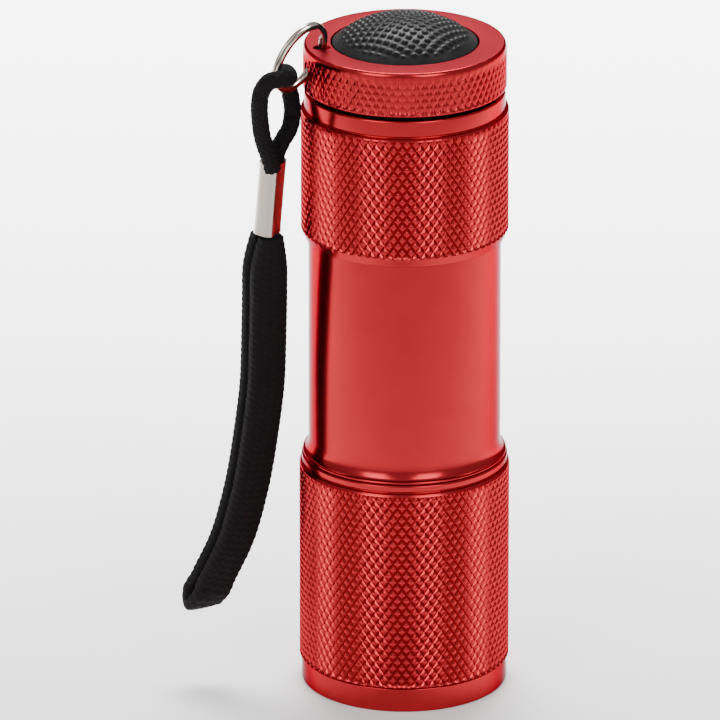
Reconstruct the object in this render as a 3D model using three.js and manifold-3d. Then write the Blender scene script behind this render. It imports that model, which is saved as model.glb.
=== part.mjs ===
// Keychain flashlight with nine LEDs, standing on its bezel with the lens down.
// Millimetres, +Z up, origin on the table at the middle of the bezel's rim.
// The lanyard hole is on the -X side of the tail cap.
import * as THREE from 'three';
import { mergeVertices } from 'three/addons/utils/BufferGeometryUtils.js';
import Module from 'manifold-3d';

const wasm = await Module();
wasm.setup();

// ---------------------------------------------------------------- driving dimensions

const gap = 0.3;                  // air between pieces that touch in the real torch

const bezelRadius = 13.35;
const bezelTop = 3.3;
const headRadius = 13.65;         // over the knurling
const headTop = 30.15;
const gripRadius = 12.43;         // smooth barrel
const gripBottom = 33.3;
const gripTop = 61.3;
const collarRadius = 13.4;        // over the knurling
const collarTop = 78.7;
const ringRadius = 12.95;
const barrelTop = 81.1;
const capRadius = 13.1;
const capBottom = 81.6;
const capTop = 87.5;

const bayRadius = 11.5;           // bore that the battery carrier slides in
const bayBottom = 17;
const threadBore = 11.9;          // bore of the tail thread, at its roots
const threadBottom = 73.4;
const threadPitch = 1.2;
const threadDepth = 0.4;
const neckRadius = 11.2;          // tail cap's threaded neck, at its roots
const neckBottom = 73.9;
const neckBore = 10.5;

const bootRadius = 9.35;          // rubber dome where it leaves the cap
const bootOpening = 9.5;
const bootTop = 91;
const bootWall = 0.9;
const lipBottom = 85.2;           // underside of the cap's lip over the boot

const cellRadius = 5.1;           // AAA cell
const cellCircle = 6.06;          // the three cells stand on this circle
const cellBody = 43.5;
const cellNub = 1;
const carrierRadius = 11.2;

const ledRadius = 2.4;
const ledCircle = 7.5;            // eight LEDs stand on this circle, the ninth in the middle

const holeRadius = 1;             // lanyard hole
const holeSlope = 61.5;           // degrees below the horizontal
const holeEntry = new THREE.Vector3(-10.95, 0, capTop);
const holeDepth = 1.75;           // along the hole, from its mouth to where the ring turns
const ringSwing = 43.3;           // degrees that the split ring is swung towards -Y
const ringMid = 4.65;             // mid radius of the split ring's wire
const ringWire = 0.84;            // wire across, in the plane of the ring
const ringThick = 0.94;           // both coils together
const ringOffset = 4.35;          // from the hole's axis to the centre of the ring

const loopCord = 2.1;             // cord of the small loop
const strapWidth = 5.2;
const strapThick = 1.8;
const strapTurn = 16.5;           // degrees that the strap's width is turned from +X towards +Y
const layerPitch = 2.1;           // between the middles of the strap's two layers

// ---------------------------------------------------------------- looks

function metal(color, roughness) {
  return new THREE.MeshStandardMaterial({ color, roughness, metalness: 1 });
}

function plain(color, roughness) {
  return new THREE.MeshStandardMaterial({ color, roughness, metalness: 0 });
}

const anodised = metal(0xb9272e, 0.35);
const nickel = metal(0xc9c4bd, 0.2);
const springSteel = metal(0xb8b8b4, 0.3);
const brass = metal(0xc9a558, 0.3);
const reflectorChrome = metal(0xe2e4e6, 0.08);
const rubber = plain(0x3c3b3d, 0.85);
const braid = plain(0x231c1e, 0.9);
const blackPlastic = plain(0x1c1c1e, 0.5);
const clearPlastic = plain(0xe8eef0, 0.1);
const ledResin = plain(0xf2f0da, 0.15);
const boardGreen = plain(0x1f6b3a, 0.5);
const cellWrap = plain(0x2b4f8c, 0.35);

// ---------------------------------------------------------------- shapes

const root = new THREE.Group();

function add(name, geometry, material) {
  const mesh = new THREE.Mesh(geometry, material);
  mesh.name = name;
  root.add(mesh);
  return mesh;
}

// A turned solid: the profile is [radius, z] points that close on themselves
// or start and end on the axis, going up the outside and down the inside.
function turned(profile, segments = 36) {
  const points = profile.map(([radius, z]) => new THREE.Vector2(radius, z));
  if (profile[0][0] > 0) points.push(points[0].clone());
  return new THREE.LatheGeometry(points, segments).rotateX(Math.PI / 2);
}

function tube(outer, inner, bottom, top, segments) {
  return turned([[outer, bottom], [outer, top], [inner, top], [inner, bottom]], segments);
}

function rod(radius, bottom, top, segments) {
  return turned([[0, bottom], [radius, bottom], [radius, top], [0, top]], segments);
}

function block(x, y, z, centre) {
  return new THREE.BoxGeometry(x, y, z).translate(...centre);
}

function at(geometry, x, y) {
  return geometry.translate(x, y, 0);
}

// A path whose cross-section keeps the direction that `across` gives at each point.
class GuidedPath extends THREE.Curve {
  constructor(path, across) {
    super();
    this.path = path;
    this.across = across;
  }

  getPoint(t, target = new THREE.Vector3()) {
    return this.path.getPoint(t, target);
  }

  computeFrenetFrames(steps) {
    const frames = { tangents: [], normals: [], binormals: [] };
    for (let i = 0; i <= steps; i += 1) {
      const u = i / steps;
      const tangent = this.getTangentAt(u);
      const normal = this.across(this.getPointAt(u));
      normal.addScaledVector(tangent, -normal.dot(tangent)).normalize();
      frames.tangents.push(tangent);
      frames.normals.push(normal);
      frames.binormals.push(new THREE.Vector3().crossVectors(tangent, normal));
    }
    return frames;
  }
}

class Helix extends THREE.Curve {
  constructor(radiusLow, radiusHigh, bottom, top, turns, startAngle = 0) {
    super();
    Object.assign(this, { radiusLow, radiusHigh, bottom, top, turns, startAngle });
  }

  getPoint(t, target = new THREE.Vector3()) {
    const angle = this.startAngle + 2 * Math.PI * this.turns * t;
    const radius = THREE.MathUtils.lerp(this.radiusLow, this.radiusHigh, t);
    const z = THREE.MathUtils.lerp(this.bottom, this.top, t);
    return target.set(radius * Math.cos(angle), radius * Math.sin(angle), z);
  }
}

const outwards = (point) => new THREE.Vector3(point.x, point.y, 0).normalize();

function sweep(path, across, outline, steps) {
  const shape = new THREE.Shape(outline.map(([x, y]) => new THREE.Vector2(x, y)));
  const extrudePath = new GuidedPath(path, across);
  return new THREE.ExtrudeGeometry(shape, { steps, bevelEnabled: false, extrudePath });
}

function roundOutline(width, height, sides) {
  const outline = [];
  for (let i = 0; i < sides; i += 1) {
    const angle = 2 * Math.PI * (i + 0.5) / sides;
    outline.push([width / 2 * Math.cos(angle), height / 2 * Math.sin(angle)]);
  }
  return outline;
}

function coilSpring(radiusLow, radiusHigh, bottom, top, turns, wire) {
  const path = new Helix(radiusLow, radiusHigh, bottom + wire / 2, top - wire / 2, turns);
  return sweep(path, outwards, roundOutline(wire, wire, 6), turns * 8);
}

// A helical thread ridge that stands `threadDepth` off a wall and is rooted inside it.
function threadRidge(wallRadius, side, bottom, turns, startAngle) {
  const root = -side * 0.2;
  const crest = side * threadDepth;
  const outline = [[root, -0.3], [crest, -0.16], [crest, 0.16], [root, 0.3]];
  if (side < 0) outline.reverse();
  const path = new Helix(wallRadius, wallRadius, bottom, bottom + turns * threadPitch, turns, startAngle);
  return sweep(path, outwards, outline, turns * 18);
}

// ---------------------------------------------------------------- joining and cutting

function toSolid(geometry) {
  const bare = geometry.clone();
  bare.deleteAttribute('normal');
  bare.deleteAttribute('uv');
  const merged = mergeVertices(bare);
  const corners = Array.from(merged.index.array);
  const triVerts = [];
  for (let i = 0; i < corners.length; i += 3) {
    const [a, b, c] = corners.slice(i, i + 3);
    if (a !== b && b !== c && c !== a) triVerts.push(a, b, c);
  }
  return new wasm.Manifold(new wasm.Mesh({
    numProp: 3,
    vertProperties: new Float32Array(merged.attributes.position.array),
    triVerts: new Uint32Array(triVerts),
  }));
}

function toGeometry(solid) {
  const mesh = solid.getMesh();
  const geometry = new THREE.BufferGeometry();
  geometry.setAttribute('position', new THREE.BufferAttribute(mesh.vertProperties, mesh.numProp));
  geometry.setIndex(new THREE.BufferAttribute(mesh.triVerts, 1));
  return geometry;
}

function joined(first, ...others) {
  return toGeometry(others.reduce((solid, other) => solid.add(toSolid(other)), toSolid(first)));
}

function cut(first, ...others) {
  return toGeometry(others.reduce((solid, other) => solid.subtract(toSolid(other)), toSolid(first)));
}

// ---------------------------------------------------------------- LED head

const lipTop = 1.1;
const lensTop = 2.6;
const bezelBore = 11.6;

add('bezel', turned([
  [11.9, 0], [13.05, 0], [bezelRadius, 0.3], [bezelRadius, bezelTop - gap],
  [12.1, bezelTop - gap], [12.1, 8], [11.3, 8], [11.3, 3.9], [bezelBore, 3.9],
  [bezelBore, lipTop], [10.6, lipTop], [10.6, 0.7],
]), anodised);

add('lens', turned([
  [0, lipTop + gap], [11, lipTop + gap], [11.2, lipTop + gap + 0.2],
  [11.2, lensTop], [0, lensTop],
]), clearPlastic);

add('lens_gasket', turned([
  [10.3, 2.9], [11.1, 2.9], [11.25, 3.15], [11.1, 3.6], [10.3, 3.6], [10.15, 3.15],
], 24), rubber);

const reflectorBottom = 4;
const reflectorTop = 8;

function ledPlaces() {
  const places = [[0, 0]];
  for (let i = 0; i < 8; i += 1) {
    const angle = Math.PI * i / 4;
    places.push([ledCircle * Math.cos(angle), ledCircle * Math.sin(angle)]);
  }
  return places;
}

const reflectorHoles = ledPlaces().map(([x, y]) => (
  at(rod(ledRadius + gap, reflectorBottom - 1, reflectorTop + 1, 12), x, y)));
add('reflector', cut(rod(10.9, reflectorBottom, reflectorTop, 36), ...reflectorHoles), reflectorChrome);

const ledTip = 4.4;
const flangeBottom = 12;
const boardBottom = 13.3;
const boardTop = 14.9;
const leadSize = 0.5;
const leadTop = 15.5;             // leads are trimmed just behind the board
const leadSpread = 1.27;          // half the 2.54 mm lead spacing

function ledGeometry() {
  const profile = [[0, ledTip]];
  for (const degrees of [30, 60, 90]) {
    const angle = THREE.MathUtils.degToRad(degrees);
    profile.push([ledRadius * Math.sin(angle), ledTip + ledRadius * (1 - Math.cos(angle))]);
  }
  profile.push([ledRadius, flangeBottom], [2.65, flangeBottom], [2.65, boardBottom - gap]);
  profile.push([0, boardBottom - gap]);
  const leadBottom = boardBottom - 0.5;
  const leads = [-leadSpread, leadSpread].map((x) => (
    block(leadSize, leadSize, leadTop - leadBottom, [x, 0, (leadBottom + leadTop) / 2])));
  return joined(turned(profile, 12), ...leads);
}

ledPlaces().forEach(([x, y], index) => {
  add(`led_${index + 1}`, at(ledGeometry(), x, y), ledResin);
});

const leadHoles = ledPlaces().flatMap(([x, y]) => [-leadSpread, leadSpread].map((dx) => (
  at(rod(leadSize / 2 + 0.35, boardBottom - 1, boardTop + 1, 6), x + dx, y))));
add('led_board', cut(rod(11.55, boardBottom, boardTop, 36), ...leadHoles), boardGreen);

add('board_spring', coilSpring(2.4, 1.6, leadTop + gap, 18.6, 3, 0.5), springSteel);

// ---------------------------------------------------------------- barrel

const barrelTube = turned([
  [bayRadius + 0.95, bezelTop], [headRadius - 0.35, bezelTop], [headRadius, bezelTop + 0.35],
  [headRadius, headTop - 0.35], [bezelRadius - 0.35, headTop], [bezelRadius, headTop + 0.45],
  [bezelRadius, 31.35], [13.1, 31.8], [12.65, 32.4], [gripRadius, gripBottom],
  [gripRadius, gripTop], [12.9, gripTop], [collarRadius, gripTop + 1.1],
  [collarRadius, collarTop - 0.25], [collarRadius - 0.25, collarTop], [ringRadius, collarTop + 0.2],
  [ringRadius, barrelTop - 0.2], [ringRadius - 0.2, barrelTop], [12.6, barrelTop],
  [threadBore, barrelTop - 0.7], [threadBore, threadBottom], [bayRadius, threadBottom],
  [bayRadius, bayBottom], [10.6, bayBottom], [10.6, bayBottom - 1.5],
  [11.9, bayBottom - 1.5], [11.9, 8.6], [bayRadius + 0.95, 8.6],
]);
const femaleTurns = 3;
const femaleBottom = 75.4;
const femaleRidge = threadRidge(threadBore, -1, femaleBottom, femaleTurns, 0);
add('barrel', joined(barrelTube, femaleRidge), anodised);

// ---------------------------------------------------------------- battery carrier

const frontPlateBottom = 20;
const frontPlateTop = 22;
const frontStrip = 22.3;
const frontNub = 23;
const rearStrip = 69.8;
const rearPlateBottom = 70.5;
const rearPlateTop = 72.5;
const stripThick = 0.4;
const rivetRadius = 1.1;
const ribCircle = 9.7;

function cellPlace(index) {
  const angle = Math.PI / 2 + 2 * Math.PI * index / 3;
  return [cellCircle * Math.cos(angle), cellCircle * Math.sin(angle)];
}

const frontPlate = tube(carrierRadius, rivetRadius + gap, frontPlateBottom, frontPlateTop, 28);
const ribs = [0, 1, 2].map((index) => {
  const angle = -Math.PI / 2 + 2 * Math.PI * index / 3;
  const rib = rod(1.4, frontPlateTop - 0.5, rearPlateBottom - gap, 12);
  return at(rib, ribCircle * Math.cos(angle), ribCircle * Math.sin(angle));
});
add('carrier_frame', joined(frontPlate, ...ribs), blackPlastic);
add('carrier_end_plate',
  tube(carrierRadius, rivetRadius + gap, rearPlateBottom, rearPlateTop, 28), blackPlastic);

// A cell stands with its nub down or up; its tip is at `tip`.
function cellGeometry(tip, direction) {
  const profile = [
    [0, 0], [1.9, 0], [1.9, cellNub], [cellRadius - 0.4, cellNub], [cellRadius, cellNub + 0.4],
    [cellRadius, cellNub + cellBody - 0.4], [cellRadius - 0.4, cellNub + cellBody],
    [0, cellNub + cellBody],
  ];
  const geometry = turned(profile, 20);
  if (direction < 0) geometry.rotateX(Math.PI);
  return geometry.translate(0, 0, tip);
}

const rearNub = rearStrip - gap;
const cellTips = [frontNub, rearNub, frontNub];
cellTips.forEach((tip, index) => {
  const geometry = cellGeometry(tip, tip === frontNub ? 1 : -1);
  add(`cell_${index + 1}`, at(geometry, ...cellPlace(index)), cellWrap);
});

const cellLength = cellBody + cellNub;
const springRanges = [
  [frontNub + cellLength + gap, rearStrip - gap],
  [frontStrip + stripThick + gap, rearNub - cellLength - gap],
  [frontNub + cellLength + gap, rearStrip - gap],
];
springRanges.forEach(([bottom, top], index) => {
  const spring = coilSpring(2.6, 2.6, bottom, top, 2, 0.5);
  add(`cell_spring_${index + 1}`, at(spring, ...cellPlace(index)), springSteel);
});

// A thin strip lies flat from one place to another, with round ends.
function strip(from, to, bottom, width) {
  const dx = to[0] - from[0];
  const dy = to[1] - from[1];
  const angle = Math.atan2(dy, dx);
  const shape = new THREE.Shape();
  shape.absarc(0, 0, width / 2, Math.PI / 2, 3 * Math.PI / 2);
  shape.absarc(Math.hypot(dx, dy), 0, width / 2, -Math.PI / 2, Math.PI / 2);
  const geometry = new THREE.ExtrudeGeometry(shape, {
    depth: stripThick, bevelEnabled: false, curveSegments: 6,
  });
  return geometry.rotateZ(angle).translate(from[0], from[1], bottom);
}

const [firstCell, secondCell, thirdCell] = [0, 1, 2].map(cellPlace);
add('bridge_front', strip(secondCell, thirdCell, frontStrip, 3.4), nickel);
add('bridge_rear', strip(firstCell, secondCell, rearStrip, 3.4), nickel);

const boardButtonBottom = 18.9;
add('contact_plus', joined(
  rod(3, boardButtonBottom, frontPlateBottom - gap, 16),
  rod(rivetRadius, boardButtonBottom + 0.4, frontStrip + stripThick, 12),
  strip([0, 0], firstCell, frontStrip, 2.6),
), brass);

const rearButtonTop = 73.6;
add('contact_minus', joined(
  rod(3.5, rearPlateTop + gap, rearButtonTop, 16),
  rod(rivetRadius, rearStrip, rearButtonTop - 0.4, 12),
  strip([0, 0], thirdCell, rearStrip, 2.6),
), brass);

// ---------------------------------------------------------------- tail cap and its switch

const maleTurns = 4;
const maleBottom = 74.6;
// Half a pitch away from the barrel's ridge, so that the two mesh at rest.
const maleAngle = 2 * Math.PI * ((maleBottom - femaleBottom) / threadPitch + 0.5);

const slope = THREE.MathUtils.degToRad(holeSlope);
const holeAxis = new THREE.Vector3(-Math.cos(slope), 0, -Math.sin(slope));
const holeMiddle = holeEntry.clone().addScaledVector(holeAxis, holeDepth);
const holeLength = 12;
const lanyardHole = new THREE.CylinderGeometry(holeRadius, holeRadius, holeLength, 16)
  .rotateX(Math.PI / 2)
  .rotateY(Math.PI / 2 - slope)
  .translate(...holeMiddle);

const capTube = turned([
  [neckBore, neckBottom], [neckRadius, neckBottom], [neckRadius, capBottom], [12.9, capBottom],
  [capRadius, capBottom + 0.2], [capRadius, capTop - 0.6], [12.98, capTop - 0.25],
  [12.78, capTop], [bootOpening, capTop], [bootOpening, lipBottom], [neckBore, lipBottom],
]);
const maleRidge = threadRidge(neckRadius, 1, maleBottom, maleTurns, maleAngle);
add('tailcap', toGeometry(
  toSolid(capTube).add(toSolid(maleRidge)).subtract(toSolid(lanyardHole)),
), anodised);

const sealRadius = 11.85;
const sealHeight = 81.15;
const sealOutline = roundOutline(0.6, 0.6, 6).map(([x, y]) => [sealRadius + x, sealHeight + y]);
add('tail_oring', turned(sealOutline, 28), rubber);

const flangeTop = lipBottom - gap;
const flangeLow = 84.1;
const domeFoot = capTop - 0.1;
const domeRings = [0.4, 0.7, 0.9];

// Height of the dome at a share of its radius, like the cap of a shallow ball.
function domeHeight(share, foot, top) {
  return foot + (top - foot) * (1 - share * share);
}

const innerBoot = bootRadius - bootWall;
const domeOutside = domeRings.toReversed().map((share) => (
  [share * bootRadius, domeHeight(share, domeFoot, bootTop)]));
const domeInside = domeRings.map((share) => (
  [share * innerBoot, domeHeight(share, domeFoot, bootTop - bootWall)]));
add('switch_boot', turned([
  [0, bootTop - bootWall], ...domeInside, [innerBoot, domeFoot], [innerBoot, flangeLow],
  [10.2, flangeLow], [10.2, flangeTop], [bootRadius, flangeTop], [bootRadius, domeFoot],
  ...domeOutside, [0, bootTop],
], 32), rubber);

const housingBottom = 78.4;
const housingFloor = 79.6;
const housingRoof = 83;
const housingTop = 83.8;
const stemRadius = 4.2;
add('switch_housing', turned([
  [1.4, housingBottom], [10.1, housingBottom], [10.1, housingTop], [stemRadius + gap, housingTop],
  [stemRadius + gap, housingRoof], [9.1, housingRoof], [9.1, housingFloor], [1.4, housingFloor],
], 28), blackPlastic);

const plungerFlangeLow = 81.9;
const plungerTop = 89;
const plungerBore = 2.9;
const plungerBoreTop = 86;
add('switch_plunger', turned([
  [0, plungerBoreTop], [plungerBore, plungerBoreTop], [plungerBore, plungerFlangeLow],
  [5.5, plungerFlangeLow], [5.5, plungerFlangeLow + 0.8], [stemRadius, plungerFlangeLow + 0.8],
  [stemRadius, plungerTop - 0.5], [stemRadius - 0.5, plungerTop], [0, plungerTop],
], 24), blackPlastic);

add('switch_spring',
  coilSpring(2.3, 2.3, housingFloor + gap, plungerBoreTop - gap, 5, 0.45), springSteel);

const rivetHead = 77.3;
add('switch_contact', turned([
  [0, rivetHead], [3.6, rivetHead], [3.6, housingBottom - gap], [rivetRadius, housingBottom - gap],
  [rivetRadius, housingFloor], [0, housingFloor],
], 16), brass);

add('switch_retainer', tube(10.2, 5, 76.2, housingBottom - gap, 28), brass);

add('tail_spring', coilSpring(2.2, 2.9, rearButtonTop + gap, rivetHead - gap, 3, 0.5), springSteel);

// ---------------------------------------------------------------- split ring

const upright = new THREE.Vector3(holeAxis.z, 0, -holeAxis.x);
const swing = THREE.MathUtils.degToRad(ringSwing);
const ringDirection = upright.clone().multiplyScalar(Math.cos(swing));
ringDirection.y -= Math.sin(swing);
const ringCentre = holeMiddle.clone().addScaledVector(ringDirection, ringOffset);
const ringNormal = new THREE.Vector3().crossVectors(holeAxis, ringDirection);

// Two flattened coils side by side, with the line between them as a groove.
const coilLow = ringMid - ringWire / 2;
const coilHigh = ringMid + ringWire / 2;
const coilEdge = ringThick / 2;
const bevel = 0.15;
const ringSection = [
  [coilLow, bevel - coilEdge], [coilLow + bevel, -coilEdge], [coilHigh - bevel, -coilEdge],
  [coilHigh, bevel - coilEdge], [coilHigh, -0.1], [coilHigh - 0.12, 0], [coilHigh, 0.1],
  [coilHigh, coilEdge - bevel], [coilHigh - bevel, coilEdge], [coilLow + bevel, coilEdge],
  [coilLow, coilEdge - bevel], [coilLow, 0.1], [coilLow + 0.12, 0], [coilLow, -0.1],
];
const splitRing = add('split_ring', turned(ringSection, 32), nickel);
splitRing.quaternion.setFromUnitVectors(new THREE.Vector3(0, 0, 1), ringNormal);
splitRing.position.copy(ringCentre);

// ---------------------------------------------------------------- lanyard

function smoothPath(points) {
  const vectors = points.map((point) => new THREE.Vector3(...point));
  return new THREE.CatmullRomCurve3(vectors, false, 'centripetal');
}

const turn = THREE.MathUtils.degToRad(strapTurn);
const strapAcross = new THREE.Vector3(Math.cos(turn), Math.sin(turn), 0);
const layerAcross = new THREE.Vector3(-Math.sin(turn), Math.cos(turn), 0);

// The small loop leaves the ferrule, goes up and over through the ring, and comes back.
const loopRoute = [
  [-18.5, -3.5, 74.2], [-19.3, -3.9, 76], [-19.9, -4.5, 78.1], [-20.3, -5.3, 80.2],
  [-20.6, -6.2, 82.4], [-20.5, -7, 84.6], [-19.7, -8, 86.3], [-18, -7.8, 86.5],
  [-16.7, -5.8, 85.8], [-16.2, -3.6, 85.5], [-16.1, -1.3, 85], [-15.6, 0.5, 83.5],
  [-15, 0.4, 81.3], [-14.9, -0.3, 79.1], [-15.4, -0.8, 77.2], [-16.5, -1.2, 75.6], [-17.5, -1.5, 74.2],
];
const loopAcross = () => new THREE.Vector3(0.2, 0.3, 1);
add('ring_loop', sweep(smoothPath(loopRoute), loopAcross, roundOutline(loopCord, loopCord, 8), 30), braid);

// A metal tube pressed nearly square over all four strands.
const ferruleTop = new THREE.Vector3(-17.95, -2.4, 73.6);
const ferruleFoot = new THREE.Vector3(-18.5, -1.35, 63.6);
const ferruleTurn = THREE.MathUtils.degToRad(-43.5);
const ferruleAcross = () => new THREE.Vector3(Math.cos(ferruleTurn), Math.sin(ferruleTurn), 0);

function roundedRectangle(width, height, corner) {
  const outline = [];
  [[1, 1], [-1, 1], [-1, -1], [1, -1]].forEach(([sideX, sideY], quarter) => {
    for (let step = 0; step < 3; step += 1) {
      const angle = (quarter + step / 2) * Math.PI / 2;
      outline.push([
        sideX * (width / 2 - corner) + corner * Math.cos(angle),
        sideY * (height / 2 - corner) + corner * Math.sin(angle),
      ]);
    }
  });
  return outline;
}

add('ferrule', sweep(new THREE.LineCurve3(ferruleTop, ferruleFoot), ferruleAcross,
  roundedRectangle(2.8, 3.4, 0.7), 1), nickel);

// Middle line of the folded wrist strap, from the ferrule down to just above the fold.
const strapLine = [
  [-18.55, -1.4, 63.2], [-18.65, -0.7, 59.25], [-18.45, 0.5, 53.5], [-18.35, 1.5, 47.6],
  [-18.35, 2.35, 41.8], [-19, 3.15, 34.6], [-20.2, 4.2, 26], [-22, 5, 18.9],
  [-24.1, 5.8, 13.9], [-25.2, 6.2, 11.3],
];
const strapFold = [-25.6, 6.4, 10.1];

function layer(side) {
  return strapLine.map(([x, y, z]) => (
    [x + side * layerAcross.x * layerPitch / 2, y + side * layerAcross.y * layerPitch / 2, z]));
}

const strapRoute = [...layer(-1), strapFold, ...layer(1).toReversed()];
const strapOutline = roundOutline(strapWidth, strapThick, 8).map(([x, y]) => (
  [THREE.MathUtils.clamp(x * 1.3, -strapWidth / 2, strapWidth / 2), y]));
add('wrist_loop', sweep(smoothPath(strapRoute), () => strapAcross.clone(), strapOutline, 40), braid);

export default root;
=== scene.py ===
"""Keychain flashlight with nine LEDs, standing on its bezel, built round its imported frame."""
import math

import bmesh
import bpy
import numpy as np
from mathutils import Matrix, Vector


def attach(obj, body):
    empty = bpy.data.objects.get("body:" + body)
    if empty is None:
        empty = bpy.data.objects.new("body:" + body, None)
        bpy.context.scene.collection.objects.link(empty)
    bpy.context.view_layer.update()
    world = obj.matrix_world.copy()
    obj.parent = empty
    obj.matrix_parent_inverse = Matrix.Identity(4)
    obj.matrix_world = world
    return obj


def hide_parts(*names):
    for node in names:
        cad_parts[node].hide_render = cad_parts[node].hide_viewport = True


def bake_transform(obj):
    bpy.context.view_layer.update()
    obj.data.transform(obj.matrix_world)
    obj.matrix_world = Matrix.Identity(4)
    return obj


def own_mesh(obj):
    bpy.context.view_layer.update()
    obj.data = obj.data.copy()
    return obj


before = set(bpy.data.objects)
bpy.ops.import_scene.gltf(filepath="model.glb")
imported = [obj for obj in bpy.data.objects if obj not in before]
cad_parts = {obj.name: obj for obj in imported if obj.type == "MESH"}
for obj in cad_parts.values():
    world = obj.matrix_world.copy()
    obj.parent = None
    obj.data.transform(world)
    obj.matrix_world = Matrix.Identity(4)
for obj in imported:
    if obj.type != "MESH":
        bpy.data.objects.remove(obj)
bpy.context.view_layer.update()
mm = 0.001


# ---------------------------------------------------------------- barrel
# One aluminium tube turned on a lathe: knurled head, concave flare, smooth grip and knurled
# collar. It is anodised red, and its bore and tail thread are cut after the outside.

def filleted(corners, cuts, steps=6):
    """Outline with soft corners: p(t) = (1-t)^2 a + 2t(1-t) c + t^2 b, where c is a corner and
    a and b lie on its two sides at the corner's own cut length, or half a side if that is less."""
    corners = np.array(corners, float)
    cuts = np.broadcast_to(np.array(cuts, float), len(corners))
    before = np.roll(corners, 1, axis=0) - corners
    after = np.roll(corners, -1, axis=0) - corners
    length_before = np.linalg.norm(before, axis=1)
    length_after = np.linalg.norm(after, axis=1)
    cut = np.minimum(cuts, 0.49 * np.minimum(length_before, length_after))
    a = corners + before * (cut / length_before)[:, None]
    b = corners + after * (cut / length_after)[:, None]
    t = np.linspace(0, 1, steps)[None, :, None]
    soft = (1 - t) ** 2 * a[:, None] + 2 * t * (1 - t) * corners[:, None] + t ** 2 * b[:, None]
    return soft.reshape(-1, 2)


def grid_piece(name, points, ring=True, loop=False, sharp=38, lean=None):
    """Quads over a grid of points: (i, j), (i, j+1), (i+1, j+1), (i+1, j). The columns close round
    when ring is true, the rows when loop is true; an open end is closed with one flat face.
    Where `lean` is given, each quad is cut in two along (i, j+1)-(i+1, j) if it is true there and
    along (i, j)-(i+1, j+1) if not. Coinciding points are merged and faces turned outwards."""
    rows, columns = points.shape[:2]
    i = np.arange(rows if loop else rows - 1)[:, None]
    j = np.arange(columns if ring else columns - 1)[None, :]
    next_row = (i + 1) % rows
    next_column = (j + 1) % columns
    quads = np.stack([
        i * columns + j, i * columns + next_column,
        next_row * columns + next_column, next_row * columns + j,
    ], axis=-1).reshape(-1, 4)
    if lean is None:
        quads = quads.tolist()
    else:
        first = np.where(lean.reshape(-1, 1), quads[:, [0, 1, 3]], quads[:, [0, 1, 2]])
        second = np.where(lean.reshape(-1, 1), quads[:, [1, 2, 3]], quads[:, [0, 2, 3]])
        quads = np.concatenate([first, second]).tolist()
    if ring and not loop:
        quads += [list(range(columns)), list(range((rows - 1) * columns, rows * columns))]
    mesh = bpy.data.meshes.new(name)
    mesh.from_pydata(points.reshape(-1, 3).tolist(), [], quads)
    merged = bmesh.new()
    merged.from_mesh(mesh)
    bmesh.ops.remove_doubles(merged, verts=merged.verts, dist=1e-7)
    bmesh.ops.recalc_face_normals(merged, faces=merged.faces)
    merged.to_mesh(mesh)
    merged.free()
    mesh.polygons.foreach_set("use_smooth", np.ones(len(mesh.polygons), bool))
    mesh.set_sharp_from_angle(angle=math.radians(sharp))
    piece = bpy.data.objects.new(name, mesh)
    bpy.context.scene.collection.objects.link(piece)
    return piece


def turned(name, outline, columns=192, relief=None, loop=True, sharp=38, lean=None):
    """An outline of (radius, height) rows in millimetres turned about Z:
    x = (radius + relief) cos(angle), y = (radius + relief) sin(angle), z = height."""
    outline = np.asarray(outline, float)
    angle = 2 * np.pi * np.arange(columns) / columns
    radius = outline[:, :1] + (0 if relief is None else relief)
    radius = np.broadcast_to(radius, (len(outline), columns))
    height = np.broadcast_to(outline[:, 1:], radius.shape)
    points = np.stack([radius * np.cos(angle), radius * np.sin(angle), height], axis=-1)
    return grid_piece(name, points * mm, loop=loop, sharp=sharp, lean=lean)


def column(radius, bottom, top, step):
    """Rows up a straight wall, a whole number of equal steps apart."""
    heights = np.linspace(bottom, top, int(round(abs(top - bottom) / step)) + 1)
    return np.stack([np.full_like(heights, radius), heights], axis=1)


def saw(x):
    """0 at whole numbers, rising straight to 1 half way between them."""
    return 1 - np.abs(2 * (x - np.floor(x)) - 1)


knurl_diamonds = 72               # side by side round the barrel
knurl_rise = 1.72                 # height of one diamond
knurl_steps = 8                   # columns, and rows, of the mesh to each diamond
knurl_columns = knurl_diamonds * knurl_steps
knurl_row = knurl_rise / knurl_steps
knurl_fade = 0.25
same_radius = 1e-6


def knurl(outline, bottom, top, crest, depth):
    """Relief of a diamond knurl. Two families of V grooves cross, a = diamonds * turns + z / rise
    and b = diamonds * turns - z / rise. The relief is depth * (min(1.5 saw(a), 1.5 saw(b), 1) - 1),
    only on rows at the crest radius, and it fades in at both ends. Also returns where the quads
    lean along a, so that both families stay straight."""
    turns = np.arange(knurl_columns)[None, :] / knurl_columns
    radius, z = outline[:, :1], outline[:, 1:]
    left = saw(knurl_diamonds * turns + (z - bottom) / knurl_rise)
    right = saw(knurl_diamonds * turns - (z - bottom) / knurl_rise)
    height = np.minimum(np.minimum(1.5 * left, 1.5 * right), 1)
    fade = np.clip(np.minimum(z - bottom, top - z) / knurl_fade, 0, 1)
    on_crest = np.abs(radius - crest) < same_radius
    middle = ((np.roll(z, -1, axis=0) + z) / 2 - bottom) / knurl_rise
    half_turns = knurl_diamonds * (turns + 0.5 / knurl_columns)
    lean = saw(half_turns + middle) < saw(half_turns - middle)
    return np.where(on_crest, depth * (height - 1) * fade, 0), lean


thread_pitch = 1.2
thread_depth = 0.4
thread_fade = 0.5


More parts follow.
